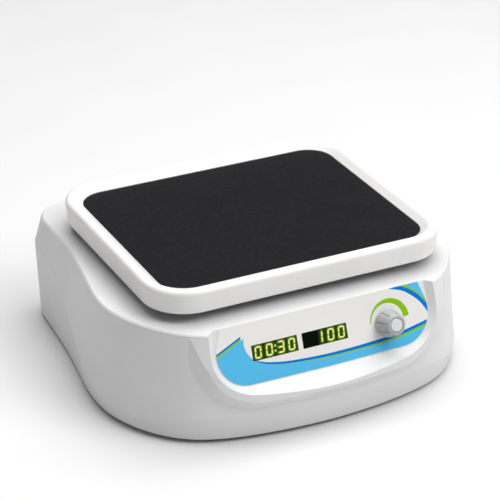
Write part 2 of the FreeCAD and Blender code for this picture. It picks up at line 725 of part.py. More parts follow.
seats, seat_tools = [], []
for name, (x, y) in IDLERS.items():
    seats += [cylinder("seat_flange_" + name, 20, 3, x, y, "chassis_level + chassis_thick"),
              cylinder("seat_tube_" + name, 14, 14, x, y, "chassis_level + chassis_thick")]
    seat_tools.append(cylinder("seat_bore_" + name, 11.05, 30, x, y, 60))
node(cut("idler_housings", fused("seat_solids", seats), fused("seat_tools", seat_tools)),
     "idler_housings")
rings("idler_bearings", [(11, "crank_pin + running", 6.6, x, y, "chassis_level + %s" % z)
                         for x, y in IDLERS.values() for z in (3.2, 10.0)])
for name, (x, y) in IDLERS.items():
    node(fused("idler_crank_" + name, [
        cylinder("idler_shaft_" + name, "crank_pin", 17, x, y, "chassis_level + 3"),
        cylinder("idler_web_" + name, 15.5, 5, x, y, 88.5),
        cylinder("idler_pin_" + name, "crank_pin - 0.05", "pin_top - 93", x, y + " - orbit", 93),
    ]), "idler_crank_" + name)


def pulley(label, x, y, groove, hub, hub_low, hub_high, bore, spokes):
    level, high = D["pulley_level"], D["pulley_high"]
    body = [cylinder(label + "_rim", groove, "pulley_high - 2", x, y, "pulley_level + 1"),
            cylinder(label + "_lower", "%s + 2.5" % groove, 1, x, y, "pulley_level"),
            cylinder(label + "_upper", "%s + 2.5" % groove, 1, x, y,
                     "pulley_level + pulley_high - 1"),
            cylinder(label + "_hub", hub, hub_high - hub_low, x, y, hub_low)]
    holes_made = [cylinder(label + "_bore", bore, 40, x, y, level - 10)]
    for k in range(spokes):
        angle = math.radians(360 / spokes * k + 30)
        holes_made.append(cylinder("%s_hole_%d" % (label, k), 10, high + 10,
                                   "%s + %.3f" % (x, 31 * math.cos(angle)),
                                   "%s + %.3f" % (y, 31 * math.sin(angle)), level - 5))
    return node(cut(label, fused(label + "_solid", body), fused(label + "_holes", holes_made)),
                label)


pulley("drive_pulley", *AXIS, "pulley_big", 13, 38.4, 53, "shaft + 0.02", 6)
MOTOR = ("motor_left", "motor_back")
pulley("motor_pulley", *MOTOR, "pulley_small", 8, 37.6, 51, "3.02", 0)

belt_body = new_body("drive_belt")
far = Vector(D["motor_left"], D["motor_back"] - D["axis_back"], 0)
heading = math.atan2(far.y, far.x)
belt_edges = []
for grow in (D["belt_gap"], D["belt_gap"] + D["belt_thick"]):
    big, small = D["pulley_big"] + grow, D["pulley_small"] + grow
    swing = math.acos((big - small) / far.Length)
    big_c, small_c = Vector(0, D["axis_back"], 0), Vector(D["motor_left"], D["motor_back"], 0)

    def on(centre, radius, angle):
        return centre + Vector(math.cos(angle), math.sin(angle), 0) * radius
    a, b = heading + swing, heading - swing
    belt_edges += [Part.Arc(on(big_c, big, a), on(big_c, big, heading + math.pi), on(big_c, big, b)),
                   Part.LineSegment(on(big_c, big, b), on(small_c, small, b)),
                   Part.Arc(on(small_c, small, b), on(small_c, small, heading),
                            on(small_c, small, a)),
                   Part.LineSegment(on(small_c, small, a), on(big_c, big, a))]
pad(belt_body, "belt_loop", "pulley_high - 2.8", "pulley_level + 1.4", belt_edges)
node(belt_body, "drive_belt")

motor = fused("motor_solid", [cylinder("motor_can", "motor_round", 22, *MOTOR, 11),
                              cone("motor_shoulder", "motor_round", "motor_round - 2", 2, *MOTOR, 33),
                              cylinder("motor_nose", 9, 2, *MOTOR, 35)])
node(cut("motor_body", motor, cylinder("motor_bore", 3.05, 30, *MOTOR, 13)), "motor_body")
node(cylinder("motor_shaft", 3, 38, *MOTOR, 13.5), "motor_shaft")
MOTOR_HOLES = [(-32, -32), (32, -32), (32, 32), (-32, 32)]
bracket = new_body("bracket_blank")
pad(bracket, "bracket_sheet", "11 - foot_gap - base_thick", "foot_gap + base_thick",
    rectangle(76, 76, 8, D["motor_left"] + 0, D["motor_back"])
    + [e for x, y in MOTOR_HOLES for e in ring(D["motor_left"] + x, D["motor_back"] + y, 2.05)])
node(bracket, "motor_bracket")
screws("motor_screws", [("motor_left + %s" % x, "motor_back + %s" % y, 11)
                        for x, y in MOTOR_HOLES], 2, 4.6, 3.6, 2.4, up=False)

chassis_body = new_body("chassis_blank")
pad(chassis_body, "chassis_sheet", "chassis_thick", "chassis_level",
    rounded([(-118, -92, 14), (118, -92, 14), (118, 142, 14), (-118, 142, 14)]))
POSTS = [(108, -80), (-108, -80), (108, 132), (-108, 132)]
chassis_tools = [cylinder("chassis_main_hole", 21.3, 10, *AXIS, "chassis_level - 3")]
for i, (x, y) in enumerate(FLANGE_HOLES):
    chassis_tools.append(cylinder("chassis_flange_%d" % i, 2.05, 10, x, "axis_back + %s" % y,
                                  "chassis_level - 3"))
for i, (x, y) in enumerate(POSTS):
    chassis_tools.append(cylinder("chassis_post_hole_%d" % i, 2.1, 10, x, y, "chassis_level - 3"))
for side in (-1, 1):
    chassis_tools.append(box("chassis_window_%d" % side, 44, 90, 10, side * 62, 72,
                             "chassis_level - 3"))
node(cut("chassis_plate", chassis_body, fused("chassis_tools", chassis_tools)), "chassis_plate")

columns, column_bores = [], []
for i, (x, y) in enumerate(POSTS):
    columns.append(cylinder("column_%d" % i, 5, "chassis_level - foot_gap - base_thick",
                            x, y, "foot_gap + base_thick"))
    column_bores.append(cylinder("column_bore_%d" % i, 2.05, 14, x, y, "chassis_level - 12"))
node(cut("chassis_columns", fused("column_solids", columns), fused("column_bores", column_bores)),
     "chassis_columns")
screws("chassis_screws", [(x, y, "chassis_level + chassis_thick") for x, y in POSTS],
       2, 12, 3.6, 2.4, up=False)

node(cylinder("sensor_magnet", 3, 2.2, 44, "axis_back", "pulley_level - 2.2"), "sensor_magnet")
node(fused("speed_sensor", [box("sensor_foot", 16, 14, 3, 44, "axis_back", "foot_gap + base_thick"),
                            box("sensor_mast", 2, 12, 27, 44, "axis_back", "foot_gap + base_thick + 1"),
                            box("sensor_chip", 5, 5, 2, 44, "axis_back", "foot_gap + base_thick + 27.5")]),
     "speed_sensor")

# ---------------------------------------------------------------- power
supply = new_body("power_board")
pad(supply, "supply_sheet", 1.6, 12,
    rectangle(88, 62, 2, 72, 88) + [e for x in (32, 112) for y in (61, 115) for e in ring(x, y, 1.6)])
node(supply, "power_board")
supply_parts = [box("transformer", 32, 28, 22, 92, 76, 13.6),
                box("heat_sink", 40, 5, 20, 55, 108, 13.6),
                cylinder("capacitor_0", 7, 17, 50, 72, 13.6),
                cylinder("capacitor_1", 7, 17, 50, 90, 13.6),
                box("supply_header", 10, 24, 9, 36, 82, 13.6),
                box("filter_choke", 18, 16, 13, 92, 102, 13.6)]
node(fused("power_components", supply_parts), "power_components")
post_parts = []
for i, (x, y) in enumerate([(32, 61), (32, 115), (112, 61), (112, 115)]):
    post_parts += [cylinder("supply_post_%d" % i, 3, "12 - foot_gap - base_thick", x, y,
                            "foot_gap + base_thick"),
                   cylinder("supply_pin_%d" % i, 1.5, 3, x, y, 11.5),
                   cylinder("supply_head_%d" % i, 2.6, 1.5, x, y, 13.6)]
node(fused("power_board_posts", post_parts), "power_board_posts")

inlet = fused("inlet_solid", [box("inlet_flange", 48, 1.5, 26, INLET_X, "foot_rear + 0.75", SOCKET_Z - 13),
                              box("inlet_case", 27.8, 20, 19.8, INLET_X, "foot_rear - 9.5", SOCKET_Z - 9.9)])
socket = cut("inlet_shell", inlet, box("inlet_socket", 24, 17, 15.6, INLET_X, "foot_rear - 6",
                                       SOCKET_Z - 7.8))
pins = [box("inlet_pin_%d" % i, 2, 12, 5.2, INLET_X + x, "foot_rear - 9", SOCKET_Z + z)
        for i, (x, z) in enumerate(((-7, -4.6), (7, -4.6), (0, -0.6)))]
node(fused("power_inlet", [socket] + pins), "power_inlet")

switch = fused("switch_solid", [box("switch_flange", 24, 1.2, 18, SWITCH_X, "foot_rear + 0.6", SOCKET_Z - 9),
                                box("switch_case", 20, 16, 14, SWITCH_X, "foot_rear - 7.6", SOCKET_Z - 7)])
PIVOT = (SWITCH_X, "foot_rear - 1.2")
node(cut("switch_body", switch, fused("switch_hollow", [
    box("switch_well", 16, 13, 11, SWITCH_X, "foot_rear - 5.2", SOCKET_Z - 5.5),
    cylinder("switch_pivot_hole", "pivot + running", 13.2, *PIVOT, SOCKET_Z - 6.6)])),
     "switch_body")
ROCKER_TILT = 8.0
rocker = new_body("power_rocker")
pad(rocker, "rocker_key", 10.2, -5.1, rounded([(-7.3, 0.0, 1.0), (7.3, 0.0, 1.0), (7.5, 2.6, 0.8),
                                               (-7.5, 2.6, 0.8)]))
pad(rocker, "rocker_web", 3.0, -1.5, rounded([(-2.2, -4.6, 1.0), (2.2, -4.6, 1.0), (2.2, 0.5, 0.0),
                                              (-2.2, 0.5, 0.0)]))
pad(rocker, "rocker_pivot", 12.8, -6.4, ring(0, 0, D["pivot"]))
rocker.Placement = Placement(Vector(SWITCH_X, D["foot_rear"] - 1.2, SOCKET_Z),
                             Rotation(Vector(0, 0, 1), ROCKER_TILT))
node(rocker, "power_rocker")

# ---------------------------------------------------------------- checks and export
DOC.recompute()
problems = []
for obj in DOC.Objects:
    if "Invalid" in obj.State or "Error" in obj.State:
        problems.append("%s %s" % (obj.Name, obj.State))
for obj in NODES:
    shape = obj.Shape
    if shape.isNull() or not shape.isValid() or shape.Volume <= 0:
        problems.append("%s has no valid solid" % obj.Label)
if problems:
    raise RuntimeError("\n".join(problems))
os.makedirs("parts", exist_ok=True)
whole = FreeCAD.BoundBox()
for obj in NODES:
    obj.Shape.exportStep(os.path.join("parts", obj.Label + ".step"))
    whole.add(obj.Shape.BoundBox)
    print("%-22s solids %d  volume %10.1f" % (obj.Label, len(obj.Shape.Solids), obj.Shape.Volume))
print("nodes", len(NODES), "box", whole)
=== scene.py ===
import math

import bmesh
import bpy
from mathutils import Matrix, Vector
from mathutils.geometry import delaunay_2d_cdt


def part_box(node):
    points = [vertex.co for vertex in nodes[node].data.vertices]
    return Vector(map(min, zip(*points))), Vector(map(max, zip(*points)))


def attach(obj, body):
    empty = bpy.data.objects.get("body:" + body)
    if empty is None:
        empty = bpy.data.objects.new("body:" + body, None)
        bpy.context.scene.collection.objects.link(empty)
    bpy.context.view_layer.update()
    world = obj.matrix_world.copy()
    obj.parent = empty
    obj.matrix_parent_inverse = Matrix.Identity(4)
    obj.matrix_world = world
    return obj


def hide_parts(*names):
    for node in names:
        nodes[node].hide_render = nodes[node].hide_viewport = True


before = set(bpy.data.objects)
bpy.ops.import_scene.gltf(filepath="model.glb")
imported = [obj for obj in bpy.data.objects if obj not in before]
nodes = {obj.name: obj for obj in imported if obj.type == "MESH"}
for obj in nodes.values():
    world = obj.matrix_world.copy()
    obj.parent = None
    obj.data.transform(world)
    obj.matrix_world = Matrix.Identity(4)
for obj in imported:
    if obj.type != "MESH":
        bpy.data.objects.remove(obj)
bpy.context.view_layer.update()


MM = 0.001


# ---------------------------------------------------------------- materials
# Every material is one Principled shader fed by solid textures in the object's own metres.

class Look:
    def __init__(self, name, color, metallic=0.0, **sockets):
        self.mat = bpy.data.materials.new(name)
        self.mat.use_nodes = True
        self.tree = self.mat.node_tree
        self.shader = self.tree.nodes["Principled BSDF"]
        self.color = (*color, 1.0)
        self.heights = []
        self.shader.inputs["Base Color"].default_value = self.color
        self.shader.inputs["Metallic"].default_value = metallic
        for socket, value in sockets.items():
            self.shader.inputs[socket.replace("_", " ")].default_value = value
        self.place = self.tree.nodes.new("ShaderNodeTexCoord").outputs["Object"]

    def link(self, a, b):
        self.tree.links.new(a, b)

    def node(self, kind, **values):
        made = self.tree.nodes.new(kind)
        for key, value in values.items():
            setattr(made, key, value)
        return made

    def stretched(self, scale):
        mapping = self.node("ShaderNodeMapping")
        mapping.inputs["Scale"].default_value = scale
        self.link(self.place, mapping.inputs["Vector"])
        return mapping.outputs["Vector"]

    def noise(self, size, detail=3.0, stretch=(1, 1, 1), rough=0.55, warp=0.0):
        made = self.node("ShaderNodeTexNoise")
        made.inputs["Scale"].default_value = 1.0
        made.inputs["Detail"].default_value = detail
        made.inputs["Roughness"].default_value = rough
        made.inputs["Distortion"].default_value = warp
        self.link(self.stretched([s / size for s in stretch]), made.inputs["Vector"])
        return made.outputs["Fac"]

    def cells(self, size, feature="F1"):
        made = self.node("ShaderNodeTexVoronoi", feature=feature)
        made.inputs["Scale"].default_value = 1.0
        self.link(self.stretched([1 / size] * 3), made.inputs["Vector"])
        return made.outputs["Distance"]

    def span(self, value, low, high, out_low=0.0, out_high=1.0):
        made = self.node("ShaderNodeMapRange", clamp=True)
        limits = {"From Min": low, "From Max": high, "To Min": out_low, "To Max": out_high}
        for key, number in limits.items():
            made.inputs[key].default_value = number
        self.link(value, made.inputs["Value"])
        return made.outputs["Result"]

    def math(self, operation, a, b):
        made = self.node("ShaderNodeMath", operation=operation)
        for k, value in enumerate((a, b)):
            if isinstance(value, (int, float)):
                made.inputs[k].default_value = value
            else:
                self.link(value, made.inputs[k])
        return made.outputs[0]

    def blend(self, factor, other):
        """Lays the colour other over what the shader has so far, by factor."""
        made = self.node("ShaderNodeMix", data_type="RGBA")
        self.link(factor, made.inputs["Factor"])
        current = self.shader.inputs["Base Color"]
        if current.is_linked:
            self.link(current.links[0].from_socket, made.inputs["A"])
        else:
            made.inputs["A"].default_value = self.color
        made.inputs["B"].default_value = (*other, 1.0)
        self.link(made.outputs["Result"], current)
        return self

    def rough(self, value, low, high):
        self.link(self.span(value, 0.3, 0.7, low, high), self.shader.inputs["Roughness"])
        return self

    def soften(self, radius):
        """Rounds the light over every sharp edge by that radius in metres."""
        if radius:
            made = self.node("ShaderNodeBevel", samples=6)
            made.inputs["Radius"].default_value = radius
            self.link(made.outputs["Normal"], self.shader.inputs["Normal"])
        return self

    def bump(self, height, depth, strength=1.0):
        """Adds relief of that depth in metres."""
        made = self.node("ShaderNodeBump")
        made.inputs["Strength"].default_value = strength
        made.inputs["Distance"].default_value = depth
        self.link(height, made.inputs["Height"])
        current = self.shader.inputs["Normal"]
        if current.is_linked:
            self.link(current.links[0].from_socket, made.inputs["Normal"])
        self.link(made.outputs["Normal"], current)
        return self


def shade(color, factor):
    return tuple(min(1.0, c * factor) for c in color)


def moulded(name, color, grain=0.45 * MM, depth=0.012 * MM, rough=(0.36, 0.48), soft=0.0):
    """Injection-moulded plastic: a fine spark-eroded grain, faint flow mottling and a few dull scuffs."""
    look = Look(name, color)
    look.soften(soft)
    flow = look.noise(60 * MM, 4.0, warp=0.6)
    look.blend(look.span(flow, 0.35, 0.65, 0.0, 1.0), shade(color, 0.97))
    fine = look.noise(grain, 2.0)
    look.bump(fine, depth)
    swell = look.noise(14 * MM, 1.0)
    look.bump(swell, 0.02 * MM, 0.35)
    marks = look.noise(5 * MM, 5.0, stretch=(1, 0.22, 1), rough=0.7, warp=1.4)
    rubbed = look.span(marks, 0.62, 0.72, 0.0, 0.05)
    look.blend(rubbed, shade(color, 0.86))
    look.rough(look.math("ADD", look.noise(9 * MM, 3.0), look.math("MULTIPLY", rubbed, 1.2)), *rough)
    return look.mat


def rubber(name, color, grain=0.6 * MM, depth=0.05 * MM, rough=(0.72, 0.88), shine=0.22):
    """Moulded rubber: pebbled, dusty, slightly uneven in tone."""
    look = Look(name, color, Specular_IOR_Level=shine)
    dust = look.noise(22 * MM, 5.0, warp=0.8)
    look.blend(look.span(dust, 0.42, 0.7, 0.0, 0.5), shade(color, 1.45))
    look.bump(look.cells(grain, "SMOOTH_F1"), depth, 0.8)
    look.bump(look.noise(grain * 0.4, 2.0), depth * 0.4, 0.6)
    specks = look.span(look.noise(1.1 * MM, 2.0), 0.62, 0.74, 0.0, 0.35)
    look.blend(specks, shade(color, 1.8))
    look.rough(look.noise(4 * MM, 3.0), *rough)
    return look.mat


def metal(name, color, along, line=0.25 * MM, rough=(0.26, 0.42), stains=0.35):
    """Worked metal: tool lines squeezed along one direction, soft tarnish and fine pits."""
    depth = 0.006 * MM
    look = Look(name, color, metallic=1.0)
    lines = look.noise(line, 3.0, stretch=along)
    look.bump(lines, depth, 0.9)
    look.bump(look.cells(0.9 * MM), depth * 0.8, 0.4)
    cloud = look.noise(12 * MM, 5.0, warp=1.0)
    look.blend(look.span(cloud, 0.4, 0.68, 0.0, stains), shade(color, 0.88))
    look.blend(look.span(lines, 0.45, 0.6, 0.0, 0.25), shade(color, 1.12))
    halves = [look.math("MULTIPLY", value, 0.5) for value in (lines, cloud)]
    look.rough(look.math("ADD", *halves), *rough)
    return look.mat


def enamel(name, color, rough, **sockets):
    """Sprayed, baked paint: orange peel under a clear film, faint tone shifts and a few rubbed spots."""
    look = Look(name, color, **sockets)
    tone = look.noise(70 * MM, 3.0, warp=0.5)
    look.blend(look.span(tone, 0.35, 0.65, 0.0, 1.0), shade(color, 0.97))
    look.bump(look.noise(2.2 * MM, 2.0), 0.006 * MM, 0.8)
    look.bump(look.noise(0.35 * MM, 1.0), 0.002 * MM, 0.5)
    marks = look.noise(6 * MM, 5.0, stretch=(0.3, 1, 1), rough=0.7, warp=1.2)
    marks = look.span(marks, 0.66, 0.78, 0.0, 0.05)
    look.blend(marks, shade(color, 0.88))
    look.rough(look.math("ADD", look.noise(11 * MM, 3.0), marks), *rough)
    return look.mat


def film(name, color, **sockets):
    """Printed polyester film: a fine suede texture over an even ink."""
    look = Look(name, color, **sockets)
    look.bump(look.noise(0.5 * MM, 2.0), 0.01 * MM, 0.7)
    ink = look.noise(0.28 * MM, 1.0)
    look.blend(look.span(ink, 0.4, 0.7, 0.0, 0.4), shade(color, 0.95))
    look.blend(look.span(look.noise(30 * MM, 3.0), 0.35, 0.65, 0.0, 0.6), shade(color, 0.98))
    look.rough(look.noise(6 * MM, 3.0), 0.3, 0.4)
    return look.mat


def board():
    """Solder mask over copper: a few straight tracks, pads and a weave under the green."""
    color = (0.012, 0.11, 0.045)
    look = Look("circuit_board", color, Coat_Weight=0.25, Coat_Roughness=0.2)
    tracks = look.cells(4 * MM, "DISTANCE_TO_EDGE")
    track = look.span(tracks, 0.06, 0.09, 1.0, 0.0)
    look.blend(track, (0.03, 0.24, 0.09))
    look.bump(track, 0.035 * MM, 0.8)
    pads = look.span(look.cells(2.54 * MM), 0.16, 0.2, 1.0, 0.0)
    look.blend(look.math("MULTIPLY", pads, 0.8), (0.62, 0.6, 0.52))
    look.bump(look.noise(0.5 * MM, 1.0), 0.01 * MM)
    look.rough(look.noise(5 * MM, 2.0), 0.28, 0.42)
    return look.mat


LINES_Z = (0.02, 0.02, 1)      # tool lines that run round a vertical axis
LINES_Y = (0.02, 1, 0.02)

LOOKS = {
    "housing_shell": moulded("housing_shell", (0.74, 0.74, 0.74), soft=1.1 * MM),
    "tray_white": enamel("tray_white", (0.85, 0.84, 0.815), rough=(0.3, 0.4),
                         Coat_Weight=0.15, Coat_Roughness=0.2),
    "mat_rubber": rubber("mat_rubber", (0.008, 0.008, 0.0095), shine=0.13),
    "foot_rubber": rubber("foot_rubber", (0.022, 0.022, 0.023), grain=0.9 * MM),
    "plate_steel": metal("plate_steel", (0.62, 0.63, 0.65), along=(1, 0.05, 1), rough=(0.34, 0.5),
                         stains=0.5),
    "screw_steel": metal("screw_steel", (0.58, 0.59, 0.61), along=(1, 1, 0.2), rough=(0.25, 0.4)),
    "led_block": moulded("led_block", (0.05, 0.05, 0.052), grain=0.3 * MM),
    "circuit_board": board(),
    "encoder_case": metal("encoder_case", (0.5, 0.5, 0.51), along=(1, 0.1, 1)),
    "nut_brass": metal("nut_brass", (0.62, 0.55, 0.38), along=LINES_Y),
    "spindle_white": moulded("spindle_white", (0.72, 0.72, 0.69), grain=0.2 * MM),
    "knob_grey": moulded("knob_grey", (0.4, 0.402, 0.41), grain=0.3 * MM, depth=0.02 * MM,
                         rough=(0.36, 0.5), soft=0.35 * MM),
    "cap_grey": moulded("cap_grey", (0.7, 0.7, 0.72), grain=0.25 * MM, rough=(0.36, 0.5), soft=0.2 * MM),
    "carrier_aluminium": metal("carrier_aluminium", (0.74, 0.75, 0.77), along=(0.05, 1, 1), line=0.5 * MM),
    "bearing_steel": metal("bearing_steel", (0.68, 0.68, 0.7), along=LINES_Z, rough=(0.12, 0.25)),
    "crank_steel": metal("crank_steel", (0.48, 0.48, 0.5), along=LINES_Z),
    "weight_iron": moulded("weight_iron", (0.05, 0.052, 0.056), grain=1.6 * MM, depth=0.12 * MM,
                           rough=(0.45, 0.62)),
    "pulley_black": moulded("pulley_black", (0.035, 0.035, 0.038), grain=0.5 * MM),
    "belt_rubber": rubber("belt_rubber", (0.02, 0.02, 0.021), grain=0.4 * MM),
    "motor_metal": enamel("motor_metal", (0.06, 0.065, 0.07), rough=(0.3, 0.45)),
    "inlet_black": moulded("inlet_black", (0.022, 0.022, 0.023), grain=0.35 * MM, rough=(0.38, 0.52)),
    "rocker_black": moulded("rocker_black", (0.02, 0.02, 0.021), grain=0.2 * MM, rough=(0.2, 0.32)),
    "component_mixed": moulded("component_mixed", (0.07, 0.08, 0.1), grain=0.4 * MM),
    "magnet_metal": metal("magnet_metal", (0.62, 0.62, 0.63), along=LINES_Z, rough=(0.15, 0.3)),
    "overlay_film": film("overlay_film", (0.83, 0.815, 0.785)),
    "display_window": film("display_window", (0.001, 0.002, 0.0012), Specular_IOR_Level=0.1),
}
INKS = {
    "sky": film("ink_sky", (0.092, 0.5, 0.82), Specular_IOR_Level=0.25),
    "blue": film("ink_blue", (0.0, 0.195, 0.64), Specular_IOR_Level=0.06),
    "green": film("ink_green", (0.25, 0.53, 0.005), Specular_IOR_Level=0.1),
}

for name, obj in nodes.items():
    keys = [s.material.name.split(".")[0] if s.material else "" for s in obj.material_slots]
    for key, slot in zip(keys, obj.material_slots):
        if key not in LOOKS:
            raise SystemExit("no look for slot %r of node %s" % (key, name))
        slot.material = LOOKS[key]


# ---------------------------------------------------------------- creases
SHARP_FOLD = 12.5              # degrees


def crease_tool(name, angle):
    """Geometry nodes that join the imported facets and shade every fold sharper than angle as a crease."""
    group = bpy.data.node_groups.new(name, "GeometryNodeTree")
    group.interface.new_socket("Geometry", in_out="INPUT", socket_type="NodeSocketGeometry")
    group.interface.new_socket("Geometry", in_out="OUTPUT", socket_type="NodeSocketGeometry")
    make = group.nodes.new
    source, sink = make("NodeGroupInput"), make("NodeGroupOutput")
    weld = make("GeometryNodeMergeByDistance")
    fold = make("GeometryNodeInputMeshEdgeAngle")
    sharp = make("FunctionNodeCompare")
    shade = make("GeometryNodeSetMeshNormal")
    weld.inputs["Distance"].default_value = 1e-6
    sharp.data_type, sharp.operation = "FLOAT", "GREATER_THAN"
    sharp.inputs["B"].default_value = math.radians(angle)
    shade.mode = "SHARPNESS"
    shade.inputs["Remove Custom"].default_value = True
    shade.inputs["Face Sharpness"].default_value = False
    wires = [(source.outputs[0], weld.inputs["Geometry"]),
             (weld.outputs["Geometry"], shade.inputs["Mesh"]),
             (fold.outputs["Unsigned Angle"], sharp.inputs["A"]),
             (sharp.outputs["Result"], shade.inputs["Edge Sharpness"]),
             (shade.outputs["Mesh"], sink.inputs[0])]
    for a, b in wires:
        group.links.new(a, b)
    return group


tool = nodes["upper_housing"].modifiers.new("creases", "NODES")
tool.node_group = crease_tool("creases_%d" % SHARP_FOLD, SHARP_FOLD)


# ---------------------------------------------------------------- the printed panel
# The panel frame: x to the right, y up along the leaning panel, z out of it, all in millimetres.
LEAN = math.radians(20.5)
FILM = 0.5
_film_low, film_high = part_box("panel_overlay")
PANEL_TOP = Vector((0.0, film_high.y, film_high.z - FILM * MM * math.sin(LEAN)))
ALONG = Vector((0.0, math.sin(LEAN), math.cos(LEAN)))
OUT = Vector((0.0, -math.cos(LEAN), math.sin(LEAN)))


def on_panel(x, y, z):
    return PANEL_TOP + Vector((x * MM, 0, 0)) + ALONG * (y * MM) + OUT * (z * MM)


def rounded_outline(points, steps=14):
    """points are (x, y, radius) corners in order; each corner becomes an arc of that radius."""
    outline = []
    for k, (x, y, radius) in enumerate(points):
        here = Vector((x, y))
        before = (Vector(points[k - 1][:2]) - here).normalized()
        after = (Vector(points[(k + 1) % len(points)][:2]) - here).normalized()
        half = before.angle(after) / 2
        if radius < 1e-6:
            outline.append(here)
            continue
        reach = radius / math.tan(half)
        centre = here + (before + after).normalized() * (radius / math.sin(half))
        first = here + before * reach - centre
        turn = math.pi - 2 * half
        sign = -1 if before.cross(after) > 0 else 1
        for s in range(steps + 1):
            outline.append(centre + Matrix.Rotation(sign * turn * s / steps, 2) @ first)
    return outline


def mirrored(points):
    """Closes a right-hand half outline, from the bottom middle to the top, with its mirror image."""
    return points + [(-x, y, r) for x, y, r in reversed(points) if abs(x) > 1e-6]


def curve(points, steps=10):
    """A smooth line through the points (Catmull-Rom)."""
    p = [Vector(q) for q in points]
    p = [2 * p[0] - p[1]] + p + [2 * p[-1] - p[-2]]
    line = []
    for k in range(1, len(p) - 2):
        a, b, c, d = p[k - 1:k + 3]
        for s in range(steps):
            t = s / steps
            line.append(0.5 * (2 * b + (c - a) * t + (2 * a - 5 * b + 4 * c - d) * t * t
                               + (3 * b - a - 3 * c + d) * t ** 3))
    return line + [p[-2]]


def arc(centre, radius, start, stop, steps=40):
    """Part of a circle; angles in degrees, from +x towards +y."""
    angles = [math.radians(start + (stop - start) * s / steps) for s in range(steps + 1)]
    return [Vector((centre[0] + radius * math.cos(t), centre[1] + radius * math.sin(t))) for t in angles]


def inside(point, loop):
    odd = False
    for a, b in zip(loop, loop[1:] + loop[:1]):
        if (a.y > point.y) != (b.y > point.y):
            if point.x < a.x + (point.y - a.y) / (b.y - a.y) * (b.x - a.x):
                odd = not odd
    return odd


def lowered(line, drops):
    """The line moved down by a drop that runs smoothly through the values in drops."""
    steps = len(line) - 1
    moved = []
    for k, p in enumerate(line):
        t = k / steps * (len(drops) - 1)
        i = min(int(t), len(drops) - 2)
        moved.append(p - Vector((0, drops[i] + (drops[i + 1] - drops[i]) * (t - i))))
    return moved


OUTLINE = rounded_outline(mirrored([(0, -51.3, 1500), (97, -50.2, 27), (98.1, -18.5, 28), (91.8, 0, 0)]))
WINDOW = (41.3, 13.0)
WINDOW_Y = -25.9
TIME_X, SPEED_X = -45.9, 0.0
KNOB = (58.5, -28.3)


def window_loop(middle, grow=0.1):
    w, h = WINDOW[0] / 2 + grow, WINDOW[1] / 2 + grow
    square = [(middle - w, WINDOW_Y - h, 0.6), (middle + w, WINDOW_Y - h, 0.6),
              (middle + w, WINDOW_Y + h, 0.6), (middle - w, WINDOW_Y + h, 0.6)]
    return rounded_outline(square, 6)


sweep = curve([(-66.5, -30.6), (-60, -33.8), (-50, -36.6), (-32, -39.2),
               (0, -40.9), (36, -40.4), (68, -38.1), (106, -31.3)])
sweep_blue = lowered(sweep, [0.3, 1.3, 1.9, 2.1, 2.4, 2.8, 3.0, 2.6])
sweep_green = lowered(sweep_blue, [0.0, 0.0, 0.2, 0.5, 1.0, 1.3, 1.6, 2.2])
peak = curve([(-72.1, -11.9), (-72.7, -17.5), (-71.5, -23.2), (-68.6, -28.3), (-66.2, -31.0)])
LEFT_EDGE, stripe_end = -104, -74.8
corner_in = curve([(62, 0.6), (75.9, -4.3), (83.2, -9.1), (89.2, -14.5), (93.4, -19.8), (98.2, -28.4)])
corner_mid = curve([(73.5, 0.8), (82.6, -4.0), (88.8, -8.8), (93.2, -13.4), (99.5, -22.5)])
corner_out = curve([(79, 1.0), (88.1, -6.4), (92.6, -11.0), (100, -19.8)])
beyond = [Vector((106, -20)), Vector((106, 4)), Vector((70, 4))]
crescent = arc((61.1, -26.2), 18.3, 1, 179, 64) + list(reversed(arc((58.9, -26.5), 15.1, 1, 179, 64)))


def stripe(left_top, right_top, right_low, left_low):
    return [Vector(p) for p in ((LEFT_EDGE, left_top), (stripe_end, right_top),
                                (stripe_end, right_low), (LEFT_EDGE, left_low))]


REGIONS = [                      # the first loop that holds a point gives its ink
    ("green", crescent),
    ("sky", corner_out + beyond),
    ("green", corner_mid + beyond),
    ("blue", corner_in + beyond),
    ("blue", stripe(-22.4, -9.8, -11.7, -24.1)),
    ("green", stripe(-24.1, -11.7, -13.4, -26.0)),
    ("blue", sweep + list(reversed(sweep_blue))),
    ("green", sweep_blue + list(reversed(sweep_green))),
    ("sky", [Vector((LEFT_EDGE, -26.0)), Vector((stripe_end, -13.4))] + peak + sweep_green
     + [Vector((106, -60)), Vector((LEFT_EDGE, -60))]),
]
INK_ORDER = ["film", "sky", "blue", "green"]


